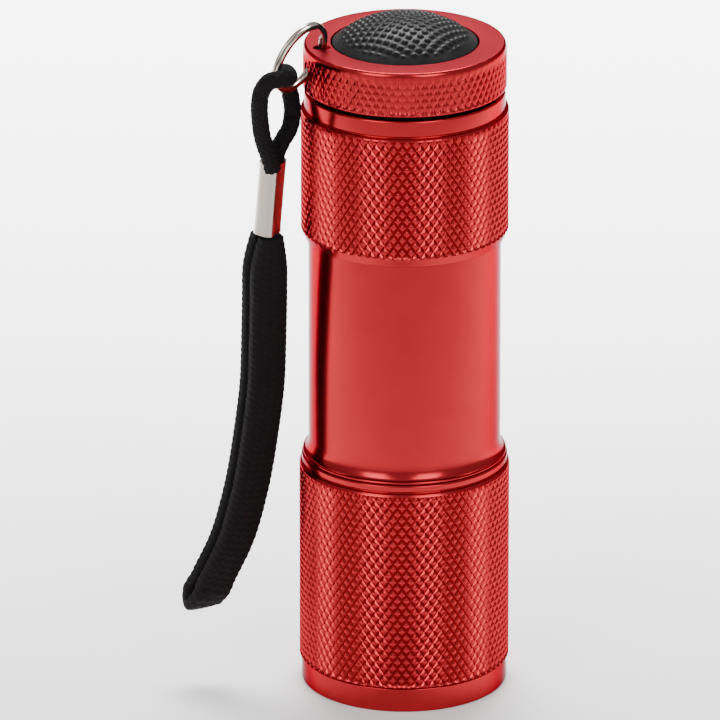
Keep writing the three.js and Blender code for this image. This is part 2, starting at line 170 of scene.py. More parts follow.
def thread(outline, bottom, top, wall, start_turn):
    """Relief of a helical thread on rows at the wall radius: with c the turns from the ridge's
    middle, c = (z - bottom) / pitch - turns, the height is depth * clip(2 - 5.5 |c|, 0, 1). It
    fades in at both ends."""
    turns = np.arange(knurl_columns)[None, :] / knurl_columns
    radius, z = outline[:, :1], outline[:, 1:]
    offset = (z - bottom) / thread_pitch - turns - start_turn
    offset = offset - np.round(offset)
    ridge = np.clip(2.0 - 5.5 * np.abs(offset), 0, 1)
    ends = np.clip(np.minimum(z - bottom, top - z) / thread_fade, 0, 1)
    on_wall = np.abs(radius - wall) < same_radius
    return np.where(on_wall, thread_depth * ridge * ends, 0)


def to_linear(hex_colour):
    """sRGB hex to the linear values that the shader takes."""
    srgb = np.array([int(hex_colour[i:i + 2], 16) / 255 for i in (1, 3, 5)])
    linear = np.where(srgb <= 0.04045, srgb / 12.92, ((srgb + 0.055) / 1.055) ** 2.4)
    return (*linear.tolist(), 1.0)


def add_node(tree, kind, inputs=None, links=None, **settings):
    """One node with its settings, its input values, and its inputs linked from outputs."""
    node = tree.nodes.new(kind)
    for key, value in settings.items():
        setattr(node, key, value)
    for key, value in (inputs or {}).items():
        node.inputs[key].default_value = value
    for key, output in (links or {}).items():
        tree.links.new(output, node.inputs[key])
    return node


def new_material(name, **values):
    """A material with one Principled shader; the values are set on the shader's own sockets."""
    material = bpy.data.materials.new(name)
    material.use_nodes = True
    shader = material.node_tree.nodes["Principled BSDF"]
    for key, value in values.items():
        shader.inputs[key.replace("_", " ")].default_value = value
    return material, material.node_tree, shader


def dress(piece, material):
    piece.data.materials.clear()
    piece.data.materials.append(material)


def fit(piece, material, body, node):
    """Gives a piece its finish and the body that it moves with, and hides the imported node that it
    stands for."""
    dress(piece, material)
    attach(piece, body)
    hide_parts(node)


def anodised_aluminium(name, light, dark, roughness, line_height):
    """Turned and anodised aluminium: a coloured, slightly blurred mirror that stays red at its
    edges. The dye changes slowly, over about 4 mm. The tool's feed leaves fine rings, drawn
    0.2 mm apart so that they show."""
    material, tree, shader = new_material(name, Metallic=1.0, Specular_Tint=to_linear("#B6AAAE"))
    place = add_node(tree, "ShaderNodeTexCoord").outputs["Object"]
    split = add_node(tree, "ShaderNodeSeparateXYZ", links={0: place})
    radial = add_node(tree, "ShaderNodeCombineXYZ",
                      links={0: split.outputs[0], 1: split.outputs[1]})
    radius = add_node(tree, "ShaderNodeVectorMath", operation="LENGTH",
                      links={0: radial.outputs[0]})
    feed = add_node(tree, "ShaderNodeCombineXYZ",
                    links={0: radius.outputs["Value"], 2: split.outputs[2]})
    rings = add_node(tree, "ShaderNodeTexNoise", inputs={"Scale": 1 / (0.2 * mm), "Detail": 2.0},
                     links={"Vector": feed.outputs[0]})
    dye = add_node(tree, "ShaderNodeTexNoise", inputs={"Scale": 1 / (3.85 * mm), "Detail": 3.0},
                   links={"Vector": place})
    tint = add_node(tree, "ShaderNodeMix", data_type="RGBA",
                    inputs={6: to_linear(dark), 7: to_linear(light)}, links={0: dye.outputs["Fac"]})
    tree.links.new(tint.outputs[2], shader.inputs["Base Color"])
    satin = add_node(tree, "ShaderNodeMapRange",
                     inputs={"To Min": roughness - 0.04, "To Max": roughness + 0.06},
                     links={"Value": rings.outputs["Fac"]})
    tree.links.new(satin.outputs["Result"], shader.inputs["Roughness"])
    bump = add_node(tree, "ShaderNodeBump", inputs={"Strength": line_height, "Distance": 0.02 * mm},
                    links={"Height": rings.outputs["Fac"]})
    tree.links.new(bump.outputs["Normal"], shader.inputs["Normal"])
    return material


red_anodised = anodised_aluminium("red_anodised_aluminium", "#AF282F", "#A4252B", 0.2, 0.1)

knurl_depth = 0.25
bay_radius = 11.5                 # where the battery carrier stands
grip_radius = 12.43
head_crest = 13.65
head_top = 31.5
head_knurl_bottom = 3.5
head_knurl_top = head_knurl_bottom + 123 * knurl_row
collar_crest = 13.4
collar_bottom = 61.3
collar_knurl_bottom = 62.5
collar_knurl_top = collar_knurl_bottom + 74 * knurl_row
thread_wall = 11.9                # of the collar, before its thread is cut
thread_start = 75.4
thread_end = 79.2

head_outline = np.concatenate([
    [[12.45, 3.25], [13.4, 3.25]],
    column(head_crest, head_knurl_bottom, head_knurl_top, knurl_row),
    filleted([[13.62, 30.05], [13.45, 30.3], [13.05, 30.32], [13.05, 30.55], [13.35, 30.62],
              [13.35, 31.3], [13.2, 31.45], [12.9, head_top]], 0.08)[3:-3],
    [[12.9, head_top], [bay_radius, head_top], [bay_radius, 17], [10.6, 17], [10.6, 15.5],
     [11.9, 15.5], [11.9, 8.6], [12.45, 8.6]],
])
head_relief, head_lean = knurl(head_outline, head_knurl_bottom, head_knurl_top, head_crest,
                               knurl_depth)
barrel_head = turned("barrel_head", head_outline, knurl_columns, head_relief, sharp=32,
                     lean=head_lean)

flare_wide, flare_tall, flare_foot = 0.75, 1.9, 31.95
bead_round, bead_ring, bead_height = 0.2, 13.0, 31.72
# The flare is a quarter ellipse, r = grip + wide (1 - sin t), z = foot + tall (1 - cos t), and
# the bead under it is a half circle.
flare_angle = np.linspace(0, np.pi / 2, 20)
flare = np.stack([grip_radius + flare_wide * (1 - np.sin(flare_angle)),
                  flare_foot + flare_tall * (1 - np.cos(flare_angle))], axis=1)
bead_angle = np.linspace(-np.pi / 2, np.pi / 2, 9)
bead = np.stack([bead_ring + bead_round * np.cos(bead_angle),
                 bead_height + bead_round * np.sin(bead_angle)], axis=1)
grip_outline = np.concatenate([
    [[bay_radius, head_top], [12.9, head_top]], bead, [[12.98, 31.93]], flare[1:],
    column(grip_radius, 34, 61.15, 1.0),
    [[12.5, 61.22], [12.84, collar_bottom], [bay_radius, collar_bottom]],
])
barrel_grip = turned("barrel_grip", grip_outline, 256)

collar_outline = np.concatenate([
    [[bay_radius, collar_bottom], [12.84, collar_bottom], [12.92, 61.36], [13.1, 61.9]],
    column(collar_crest, collar_knurl_bottom, collar_knurl_top, knurl_row),
    filleted([[13.38, 78.55], [13.2, 78.74], [12.85, 78.78], [12.85, 78.95], [12.95, 79.02],
              [12.95, 80.95], [12.8, 81.1], [12.6, 81.1]], 0.1)[3:-3],
    [[12.6, 81.1], [thread_wall, 80.4]],
    column(thread_wall, 80.3, 73.5, 0.15),
    [[thread_wall, 73.4], [bay_radius, 73.4]],
])
collar_relief, collar_lean = knurl(collar_outline, collar_knurl_bottom, collar_knurl_top,
                                   collar_crest, knurl_depth)
collar_relief = collar_relief - thread(collar_outline, thread_start, thread_end, thread_wall, 0)
barrel_collar = turned("barrel_collar", collar_outline, knurl_columns, collar_relief, sharp=32,
                       lean=collar_lean)

for piece in (barrel_head, barrel_grip, barrel_collar):
    fit(piece, red_anodised, "barrel", "barrel")


# ---------------------------------------------------------------- bezel
# A smooth aluminium ring that screws into the head and holds the lens. Same red anodising; the
# outer edge is broken and the mouth is a polished cone.

bezel_outline = filleted(
    [[11.9, 0], [13.35, 0], [13.35, 3.2], [12.1, 3.2], [12.1, 8.0], [11.3, 8.0], [11.3, 3.9],
     [11.6, 3.9], [11.6, 1.1], [10.6, 1.1], [10.6, 0.7]],
    [0.1, 0.3, 0.12, 0.1, 0.1, 0.1, 0.1, 0.1, 0.05, 0.15, 0.15])
bezel = turned("bezel_ring", bezel_outline, 256)
fit(bezel, red_anodised, "barrel", "bezel")


# ---------------------------------------------------------------- lens and gasket
# A clear acrylic window with a bevelled edge, pressed against a black rubber ring.

lens_outline = np.concatenate([
    [[0, 1.4]], filleted([[11.2, 1.4], [11.2, 2.6]], 0.2), [[0, 2.6]],
])
lens = turned("lens_window", lens_outline, 192, loop=False)
# Acrylic with a polished face: clear and colourless, with sharp reflections.
clear_acrylic, _, _ = new_material("clear_acrylic", Base_Color=to_linear("#F4F8FA"),
                                   Roughness=0.03, IOR=1.49, Transmission_Weight=1.0)
fit(lens, clear_acrylic, "barrel", "lens")


def moulded_rubber(name, hex_colour, roughness, grain):
    """Moulded silicone rubber: an even dark skin whose fine spark-eroded grain breaks up the
    highlights. The grain is drawn 0.125 mm wide, and wear changes the gloss over 2 mm."""
    material, tree, shader = new_material(name, Base_Color=to_linear(hex_colour), IOR=1.45,
                                          Specular_IOR_Level=0.2)
    place = add_node(tree, "ShaderNodeTexCoord").outputs["Object"]
    pores = add_node(tree, "ShaderNodeTexNoise", inputs={"Scale": 1 / (0.125 * mm), "Detail": 3.0},
                     links={"Vector": place})
    wear = add_node(tree, "ShaderNodeTexNoise", inputs={"Scale": 1 / (2 * mm)},
                    links={"Vector": place})
    skin = add_node(tree, "ShaderNodeMapRange",
                    inputs={"To Min": roughness - 0.1, "To Max": roughness + 0.12},
                    links={"Value": wear.outputs["Fac"]})
    bump = add_node(tree, "ShaderNodeBump", inputs={"Strength": grain, "Distance": 0.04 * mm},
                    links={"Height": pores.outputs["Fac"]})
    tree.links.new(skin.outputs["Result"], shader.inputs["Roughness"])
    tree.links.new(bump.outputs["Normal"], shader.inputs["Normal"])
    return material


black_rubber = moulded_rubber("black_silicone_rubber", "#0D0C0D", 0.34, 0.25)
seal_radius, seal_height = 10.7, 3.25
seal_half_width, seal_half_height = 0.52, 0.34
seal_angle = np.linspace(0, 2 * np.pi, 24, endpoint=False)
seal_outline = np.stack([seal_radius + seal_half_width * np.cos(seal_angle),
                         seal_height + seal_half_height * np.sin(seal_angle)], axis=1)
gasket = turned("lens_seal", seal_outline)
fit(gasket, black_rubber, "barrel", "lens_gasket")


# ---------------------------------------------------------------- reflector and LEDs
# A moulded disc with nine cups, metallised bright. A 5 mm LED stands in each cup: clear epoxy
# with a domed end, over a metal cup that holds the yellow phosphor.

led_circle = 7.5
outer_leds = 8
led_places = [(0.0, 0.0)] + [
    (led_circle * math.cos(2 * math.pi * k / outer_leds),
     led_circle * math.sin(2 * math.pi * k / outer_leds))
    for k in range(outer_leds)
]


def moved(piece, x, y):
    """Moves a piece's mesh sideways, in millimetres; its object stays at the origin."""
    piece.data.transform(Matrix.Translation((x * mm, y * mm, 0)))
    return piece


def cut_away(piece, cutters):
    """Subtracts the cutters from the piece and keeps only the result."""
    for cutter in cutters:
        cut = piece.modifiers.new("cut", "BOOLEAN")
        cut.operation = "DIFFERENCE"
        cut.solver = "EXACT"
        cut.object = cutter
    bpy.context.view_layer.update()
    result = piece.evaluated_get(bpy.context.evaluated_depsgraph_get())
    mesh = bpy.data.meshes.new_from_object(result)
    piece.modifiers.clear()
    piece.data = mesh
    for cutter in cutters:
        bpy.data.objects.remove(cutter)
    mesh.set_sharp_from_angle(angle=math.radians(38))


reflector = turned("reflector_disc", filleted(
    [[0.01, 4], [10.9, 4], [10.9, 8], [0.01, 8]], [0, 0.3, 0.3, 0]), 192)
cup = [[0, 3.9], [2.85, 3.9], [2.72, 6.5], [2.72, 8.2], [0, 8.2]]
cut_away(reflector, [moved(turned("cup_cutter", cup, 48, loop=False), x, y)
                     for x, y in led_places])
# Aluminium vapour on lacquered ABS: a nearly perfect white mirror.
bright_metallised, _, _ = new_material("metallised_reflector", Base_Color=to_linear("#E6E8EA"),
                                       Metallic=1.0, Roughness=0.08)
fit(reflector, bright_metallised, "barrel", "reflector")

dome_angle = np.linspace(0, np.pi / 2, 14)
led_outline = np.concatenate([
    np.stack([2.4 * np.sin(dome_angle), 6.8 - 2.4 * np.cos(dome_angle)], axis=1),
    filleted([[2.4, 12], [2.65, 12], [2.65, 13], [1.0, 13]], 0.08)[:-6],
    [[0, 13]],
])
# Cast epoxy, clear with a slight yellow tinge, and phosphor paste, matt and deep yellow.
clear_epoxy, _, _ = new_material("clear_led_epoxy", Base_Color=to_linear("#FBF6DC"),
                                 Roughness=0.06, IOR=1.53, Transmission_Weight=0.75)
phosphor, _, _ = new_material("led_phosphor_cup", Base_Color=to_linear("#E8C742"), Roughness=0.5)
phosphor_cup = [[0, 9.4], [0.5, 9.4], [0.95, 8.6], [1.05, 8.6], [1.05, 10.2], [0.3, 11.6],
                [0, 11.6]]
for number, (x, y) in enumerate(led_places, start=1):
    led = moved(turned(f"led_body_{number}", led_outline, 48, loop=False), x, y)
    inner = moved(turned(f"led_cup_{number}", phosphor_cup, 32, loop=False), x, y)
    fit(led, clear_epoxy, "barrel", f"led_{number}")
    fit(inner, phosphor, "barrel", f"led_{number}")


# ---------------------------------------------------------------- tail cap
# Turned from the same bar, with a shallow worn knurl, a satin top face and a polished edge. The
# lanyard hole is drilled through the corner from the top face to the side.

cap_top = 87.5
cap_crest = 13.1
cap_knurl_depth = 0.13
cap_knurl_bottom = 81.85
cap_knurl_top = cap_knurl_bottom + 22 * knurl_row
cap_wall = 11.2                   # of the cap's neck, under its thread
neck_start = 74.6
neck_end = 79.4
lip_outline = filleted([[13.1, 86.7], [12.98, 87.27], [12.78, cap_top], [9.5, cap_top],
                        [9.5, 85.2], [10.5, 85.2]], [0.1, 0.25, 0.12, 0.12, 0.1, 0.05])[6:-6]
cap_outline = np.concatenate([
    [[10.5, 73.9], [11.0, 73.9]],
    column(cap_wall, 74.1, 81.5, 0.15),
    [[cap_wall, 81.6], [12.85, 81.6], [13.0, 81.66], [13.08, 81.75]],
    column(cap_crest, cap_knurl_bottom, cap_knurl_top, knurl_row),
    lip_outline,
    [[10.5, 85.2]],
])
half_turn_on = (neck_start - thread_start) / thread_pitch + 0.5
cap_relief, cap_lean = knurl(cap_outline, cap_knurl_bottom, cap_knurl_top, cap_crest,
                             cap_knurl_depth)
cap_relief = cap_relief + thread(cap_outline, neck_start, neck_end, cap_wall, half_turn_on)
tail_cap = turned("tail_cap", cap_outline, knurl_columns, cap_relief, sharp=32, lean=cap_lean)

hole_radius = 1.0
hole_reach = 7
hole_slope = math.radians(61.5)
hole_axis = Vector((-math.cos(hole_slope), 0, -math.sin(hole_slope)))
hole_entry = Vector((-10.95, 0, cap_top))
ring_pivot = hole_entry + 1.75 * hole_axis     # half way along the hole
hole_cutter = turned("hole_cutter", [[0, -hole_reach], [hole_radius, -hole_reach],
                                     [hole_radius, hole_reach], [0, hole_reach]], 64, loop=False)
hole_cutter.data.transform(Matrix.Translation(ring_pivot * mm)
                           @ hole_axis.to_track_quat("Z", "Y").to_matrix().to_4x4())
cut_away(tail_cap, [hole_cutter])
fit(tail_cap, red_anodised, "tailcap", "tailcap")

# The top face is bead-blasted before it is anodised, so it is paler and blurs what it reflects.
red_satin = anodised_aluminium("red_anodised_satin_face", "#9E3038", "#962B33", 0.42, 0.2)
tail_cap.data.materials.append(red_satin)
face_centre = np.empty(3 * len(tail_cap.data.polygons), np.float32)
tail_cap.data.polygons.foreach_get("center", face_centre)
on_top = face_centre[2::3] > (cap_top - 0.01) * mm
tail_cap.data.polygons.foreach_set("material_index", on_top.astype(np.int32))


# ---------------------------------------------------------------- switch boot
# A soft black rubber dome with rows of small raised studs, clamped by its flange under the cap's
# lip. A plain glossy band runs round its foot.

boot_radius = 9.35
boot_foot = 87.45
dome_height = 3.35
dome_rows = 90
boot_columns = 320
stud_pitch = 1.05
stud_height = 0.2
stud_edge = 8.5                   # where the smooth band begins
stud_fade = 0.5


def boot_studs(x, y):
    """Rounded studs on a square lattice turned 45 degrees: with p and q the two diagonal places in
    pitches, the height is stud_height * (1.6 |cos(pi p) cos(pi q)| - 0.45), kept in 0 to 1. It
    fades to nothing at the smooth band."""
    p = (x + y) / (stud_pitch * math.sqrt(2))
    q = (x - y) / (stud_pitch * math.sqrt(2))
    wave = np.abs(np.cos(np.pi * p) * np.cos(np.pi * q))
    edge = np.clip((stud_edge - np.hypot(x, y)) / stud_fade, 0, 1)
    return stud_height * np.clip(1.6 * wave - 0.45, 0, 1) * edge


# The dome is z = foot + height (1 - share^2.1) plus the studs, where share is the place from the
# middle, 0, to the edge, 1. Its underside is a turned outline.
share = np.linspace(0, 1, dome_rows)[:, None]
boot_angle = 2 * np.pi * np.arange(boot_columns)[None, :] / boot_columns
dome_radius = boot_radius * share * np.ones_like(boot_angle)
dome_x = dome_radius * np.cos(boot_angle)
dome_y = dome_radius * np.sin(boot_angle)
dome_z = boot_foot + dome_height * (1 - share ** 2.1) + boot_studs(dome_x, dome_y)
dome = np.stack([dome_x, dome_y, dome_z], axis=-1)
boot_lower = np.array([[boot_radius, 87.2], [boot_radius, 84.9], [10.2, 84.9], [10.2, 84.1],
                       [8.45, 84.1], [8.45, 87.3], [7.6, 87.9], [6.2, 88.7], [4.2, 89.55],
                       [2, 90], [0, 90.1]])
under = np.stack([boot_lower[:, :1] * np.cos(boot_angle), boot_lower[:, :1] * np.sin(boot_angle),
                  boot_lower[:, 1:] * np.ones_like(boot_angle)], axis=-1)
boot = grid_piece("rubber_boot", np.concatenate([dome, under]) * mm, sharp=60)
dress(boot, black_rubber)
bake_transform(boot)
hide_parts("switch_boot")


# ---------------------------------------------------------------- split ring
# Flat nickel-plated spring wire wound two turns, so that two coils lie side by side. Its two cut
# ends and the sideways step between the coils are at the same place.

ring_swing = math.radians(43.3)
hole_upright = Vector((hole_axis.z, 0, -hole_axis.x))
ring_out = hole_upright * math.cos(ring_swing) - Vector((0, 1, 0)) * math.sin(ring_swing)
ring_offset = 4.35
ring_centre = np.array(ring_pivot + ring_offset * ring_out)
ring_normal = np.array(hole_axis.cross(ring_out))
ring_mid = 4.65
wire_wide, wire_thick, wire_corner = 0.78, 0.43, 0.14
coil_gap = 0.04
ring_end = math.radians(250)      # where the cut ends lie, from the ring's far side
step_half = 0.4                   # half the turn, in radians, in which the wire steps across


def swept(name, path, across, outline, sharp=38, scale=None, relief=None, loop=False):
    """Carries an outline along a path: point = path + u * side + v * up, where side is `across`
    made square to the path and up = tangent x side. `scale` stretches the outline at each step
    and `relief` moves each point outwards along the outline's own normal."""
    tangent = np.gradient(path, axis=0)
    tangent /= np.linalg.norm(tangent, axis=1)[:, None]
    side = np.broadcast_to(across, path.shape)
    side = side - tangent * np.sum(side * tangent, axis=1)[:, None]
    side /= np.linalg.norm(side, axis=1)[:, None]
    up = np.cross(tangent, side)
    uv = np.broadcast_to(outline, (len(path), *outline.shape)).copy()
    if scale is not None:
        uv *= scale[:, None, :]
    if relief is not None:
        run = np.roll(uv, -1, axis=1) - np.roll(uv, 1, axis=1)
        normal = np.stack([run[..., 1], -run[..., 0]], axis=-1)
        normal /= np.linalg.norm(normal, axis=-1)[..., None]
        uv += normal * relief[..., None]
    points = path[:, None] + uv[..., :1] * side[:, None] + uv[..., 1:] * up[:, None]
    return grid_piece(name, points * mm, loop=loop, sharp=sharp)


# Two turns at one radius; the wire moves over by its thickness and the gap on a smooth step,
# 3 s^2 - 2 s^3, half way through.
wind = np.linspace(step_half * 1.1, 4 * np.pi - step_half * 1.1, 420)
step = np.clip((wind - (2 * np.pi - step_half)) / (2 * step_half), 0, 1)
side_shift = (step * step * (3 - 2 * step) - 0.5) * (wire_thick + coil_gap)
ring_turn = (wind + ring_end)[:, None]
ring_spoke = np.cos(ring_turn) * np.array(ring_out) + np.sin(ring_turn) * np.array(hole_axis)
ring_path = ring_centre + ring_mid * ring_spoke + side_shift[:, None] * ring_normal
wire_outline = filleted([[-wire_thick / 2, -wire_wide / 2], [wire_thick / 2, -wire_wide / 2],
                         [wire_thick / 2, wire_wide / 2], [-wire_thick / 2, wire_wide / 2]],
                        wire_corner)
split_ring = swept("split_ring_wire", ring_path, ring_normal, wire_outline)


def bright_metal(name, hex_colour, roughness):
    """Plated or turned metal: warm and bright, a little blurred, with hair scratches from use
    drawn 0.11 mm apart."""
    material, tree, shader = new_material(name, Base_Color=to_linear(hex_colour), Metallic=1.0)
    place = add_node(tree, "ShaderNodeTexCoord").outputs["Object"]
    scratches = add_node(tree, "ShaderNodeTexNoise",
                         inputs={"Scale": 1 / (0.11 * mm), "Detail": 4.0}, links={"Vector": place})
    polish = add_node(tree, "ShaderNodeMapRange",
                      inputs={"To Min": roughness - 0.05, "To Max": roughness + 0.08},
                      links={"Value": scratches.outputs["Fac"]})
    bump = add_node(tree, "ShaderNodeBump", inputs={"Strength": 0.12, "Distance": 0.01 * mm},
                    links={"Height": scratches.outputs["Fac"]})
    tree.links.new(polish.outputs["Result"], shader.inputs["Roughness"])
    tree.links.new(bump.outputs["Normal"], shader.inputs["Normal"])
    return material


nickel = bright_metal("nickel_plated_steel", "#B9AFA6", 0.2)
fit(split_ring, nickel, "ring", "split_ring")


# ---------------------------------------------------------------- small cord loop
# Round braided polyester cord, 2.1 mm thick, that leaves the ferrule, goes up and over through
# the split ring and comes back into the ferrule.

def smooth_route(route, count):
    """A curve through given points: cubic Hermite pieces whose slopes are the central
    differences of the points, against the distance along them, resampled to even steps."""
    route = np.array(route, float)
    gaps = np.linalg.norm(np.diff(route, axis=0), axis=1)
    places = np.concatenate([[0], np.cumsum(gaps)])
    slopes = np.gradient(route, places, axis=0)
    fine = np.linspace(0, places[-1], 40 * len(route))
    k = np.clip(np.searchsorted(places, fine, side="right") - 1, 0, len(gaps) - 1)
    width = gaps[k][:, None]
    t = (fine[:, None] - places[k][:, None]) / width
    curve = ((2 * t ** 3 - 3 * t ** 2 + 1) * route[k]
             + (t ** 3 - 2 * t ** 2 + t) * width * slopes[k]
             + (3 * t ** 2 - 2 * t ** 3) * route[k + 1]
             + (t ** 3 - t ** 2) * width * slopes[k + 1])
    run = np.concatenate([[0], np.cumsum(np.linalg.norm(np.diff(curve, axis=0), axis=1))])
    even = np.linspace(0, run[-1], count)
    return np.stack([np.interp(even, run, curve[:, axis]) for axis in range(3)], axis=1)


def path_length(path):
    return float(np.linalg.norm(np.diff(path, axis=0), axis=1).sum())


loop_route = [
    [-18.2, -3.2, 72.6], [-18.6, -3.5, 74.2], [-19.3, -3.9, 76], [-19.9, -4.5, 78.1],
    [-20.3, -5.3, 80.2], [-20.6, -6.2, 82.4], [-20.5, -7, 84.6], [-19.7, -8, 86.3],
    [-18, -7.8, 86.5], [-16.7, -5.8, 85.8], [-16.2, -3.6, 85.5], [-16.1, -1.3, 85],
    [-15.6, 0.5, 83.5], [-15, 0.4, 81.3], [-14.9, -0.3, 79.1], [-15.4, -0.8, 77.2],
    [-16.5, -1.2, 75.6], [-17.3, -1.5, 74], [-17.4, -1.7, 72.6],
]
loop_path = smooth_route(loop_route, 420)
loop_cord = 2.1
loop_sides = 48
loop_strands = 8
loop_pitch = 1.0
loop_relief = 0.22


def round_braid(path):
    """Relief of a round plait: left- and right-hand strands take turns on top. With
    a = strands * turn + run / pitch and b = strands * turn - run / pitch, the relief is
    height * (saw(a)^0.6 - 0.5) where floor(a) + floor(b) is even, and the same of b elsewhere."""
    run = np.linspace(0, path_length(path), len(path))[:, None]
    turn = np.arange(loop_sides)[None, :] / loop_sides
    a = loop_strands * turn + run / loop_pitch
    b = loop_strands * turn - run / loop_pitch
    left_on_top = (np.floor(a) + np.floor(b)) % 2 == 0
    return loop_relief * (np.where(left_on_top, saw(a), saw(b)) ** 0.6 - 0.5)


loop_angle = 2 * np.pi * np.arange(loop_sides) / loop_sides
loop_outline = loop_cord / 2 * np.stack([np.cos(loop_angle), np.sin(loop_angle)], axis=1)
loop_across = np.array([0.2, 0.3, 1.0])
ring_loop = swept("cord_loop", loop_path, loop_across, loop_outline,
                  relief=round_braid(loop_path), sharp=70)


def braided_polyester(name, hex_colour, sheen):
    """Dyed polyester yarn, braided: dull black, with hardly any shine where fibres catch the
    light. The filaments are drawn as a grain 0.1 mm wide."""
    material, tree, shader = new_material(name, Roughness=0.8, Specular_IOR_Level=0.12,
                                          Sheen_Weight=sheen, Sheen_Roughness=0.4)
    place = add_node(tree, "ShaderNodeTexCoord").outputs["Object"]
    yarn = add_node(tree, "ShaderNodeTexNoise", inputs={"Scale": 1 / (0.1 * mm), "Detail": 3.0},
                    links={"Vector": place})
    tint = add_node(tree, "ShaderNodeMix", data_type="RGBA",
                    inputs={6: to_linear(hex_colour), 7: to_linear("#131011")},
                    links={0: yarn.outputs["Fac"]})
    bump = add_node(tree, "ShaderNodeBump", inputs={"Strength": 0.5, "Distance": 0.05 * mm},
                    links={"Height": yarn.outputs["Fac"]})
    tree.links.new(tint.outputs[2], shader.inputs["Base Color"])
    tree.links.new(bump.outputs["Normal"], shader.inputs["Normal"])
    return material


black_braid = braided_polyester("black_braided_polyester", "#080607", 0.005)
fit(ring_loop, black_braid, "lanyard", "ring_loop")


# ---------------------------------------------------------------- wrist loop
# Flat polyester plait, 5.2 mm wide, doubled back on itself at a blunt fold. Both ends are pressed
# together inside the ferrule, so the strap narrows towards it.

strap_width, strap_thick = 5.2, 1.8
strap_turn = math.radians(16.5)
strap_across = np.array([math.cos(strap_turn), math.sin(strap_turn), 0.0])
layer_across = np.array([-math.sin(strap_turn), math.cos(strap_turn), 0.0])
layer_pitch = 2.1
strap_line = np.array([
    [-18.55, -1.4, 63.2], [-18.65, -0.7, 59.25], [-18.45, 0.5, 53.5], [-18.35, 1.5, 47.6],
    [-18.35, 2.35, 41.8], [-19, 3.15, 34.6], [-20.2, 4.2, 26], [-22, 5, 18.9],
    [-24.1, 5.8, 13.9], [-25.2, 6.2, 11.3],
])
strap_fold = np.array([[-25.6, 6.4, 10.1]])
half_pitch = layer_across * layer_pitch / 2
strap_route = np.concatenate([strap_line - half_pitch, strap_fold, (strap_line + half_pitch)[::-1]])
strap_path = smooth_route(strap_route, 760)
strap_sides = 88
strap_ribs = 4
stitch_pitch = 0.95
stitch_height = 0.2
pinched_share = 0.62              # of the width, inside the ferrule
pinched_length = 6


def flat_plait(run, outline):
    """Relief of a flat plait: ribs of slanting stitches side by side. With x the place across a
    rib from 0 to 1 and s the distance along, a stitch is saw(s / pitch + 0.9 |x - 0.5|)^0.7, and
    the relief is height * (stitch * (0.35 + 0.65 sin(pi x)) - 0.4)."""
    place = (outline[None, :, 0] / strap_width + 0.5) * strap_ribs
    across = place - np.floor(place)
    stitch = saw(run[:, None] / stitch_pitch + 0.9 * np.abs(across - 0.5)) ** 0.7
    return stitch_height * (stitch * (0.35 + 0.65 * np.sin(np.pi * across)) - 0.4)


# The outline is a flat oval, x = w/2 |cos t|^0.75 and y = h/2 |sin t|^0.45 with their signs.
side_angle = 2 * np.pi * np.arange(strap_sides) / strap_sides
strap_outline = np.stack([
    strap_width / 2 * np.sign(np.cos(side_angle)) * np.abs(np.cos(side_angle)) ** 0.75,
    strap_thick / 2 * np.sign(np.sin(side_angle)) * np.abs(np.sin(side_angle)) ** 0.45,
], axis=1)
strap_run = np.linspace(0, path_length(strap_path), len(strap_path))
from_end = np.minimum(strap_run, strap_run[-1] - strap_run)
spread = np.sin(np.clip(from_end / pinched_length, 0, 1) * np.pi / 2)
taper = pinched_share + (1 - pinched_share) * spread
strap_scale = np.stack([taper, np.ones_like(taper)], axis=1)
wrist_loop = swept("strap_loop", strap_path, strap_across, strap_outline, scale=strap_scale,
                   relief=flat_plait(strap_run, strap_outline), sharp=70)
fit(wrist_loop, black_braid, "lanyard", "wrist_loop")


# ---------------------------------------------------------------- ferrule
# A short nickel-plated tube pressed nearly square over all four strands. Its rims are rolled
# slightly outwards.

ferrule_top = np.array([-17.95, -2.4, 73.6])
ferrule_foot = np.array([-18.5, -1.35, 63.6])
ferrule_face = 2.8
ferrule_depth = 3.4
ferrule_wall = 0.3
ferrule_turn = math.radians(-43.5)
ferrule_across = np.array([math.cos(ferrule_turn), math.sin(ferrule_turn), 0.0])
ferrule_rows = 40
rim_flare = 0.035                 # how much wider the rims are, as a share
rim_reach = 18                    # how fast the flare dies away, per length of the ferrule


def pressed_outline(width, depth, corner):
    """A rectangle with soft corners, in millimetres."""
    return filleted([[-width / 2, -depth / 2], [width / 2, -depth / 2], [width / 2, depth / 2],
                     [-width / 2, depth / 2]], corner, steps=14)


# The tube goes down its outside and up its inside; a rim is 1 + flare exp(-reach * distance).
down = np.linspace(0, 1, ferrule_rows)
rim = 1 + rim_flare * (np.exp(-down * rim_reach) + np.exp(-(1 - down) * rim_reach))
rim = rim[:, None, None]
outside = ferrule_top + (ferrule_foot - ferrule_top) * down[:, None]
ferrule_path = np.concatenate([outside, outside[::-1]])
ferrule_direction = (ferrule_foot - ferrule_top) / np.linalg.norm(ferrule_foot - ferrule_top)
ferrule_side = ferrule_across - ferrule_direction * ferrule_across.dot(ferrule_direction)
ferrule_side /= np.linalg.norm(ferrule_side)
ferrule_up = np.cross(ferrule_direction, ferrule_side)
outer = pressed_outline(ferrule_face, ferrule_depth, 1.1)
inner = pressed_outline(ferrule_face - 2 * ferrule_wall, ferrule_depth - 2 * ferrule_wall, 0.9)
ferrule_uv = np.concatenate([rim * outer, (rim * inner)[::-1]])
ferrule_points = (ferrule_path[:, None] + ferrule_uv[..., :1] * ferrule_side
                  + ferrule_uv[..., 1:] * ferrule_up)
ferrule = grid_piece("crimped_ferrule", ferrule_points * mm, loop=True)
fit(ferrule, nickel, "lanyard", "ferrule")


# ---------------------------------------------------------------- inner pieces
# The battery carrier, cells, contacts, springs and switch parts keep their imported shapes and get
# the finish of the real ones.

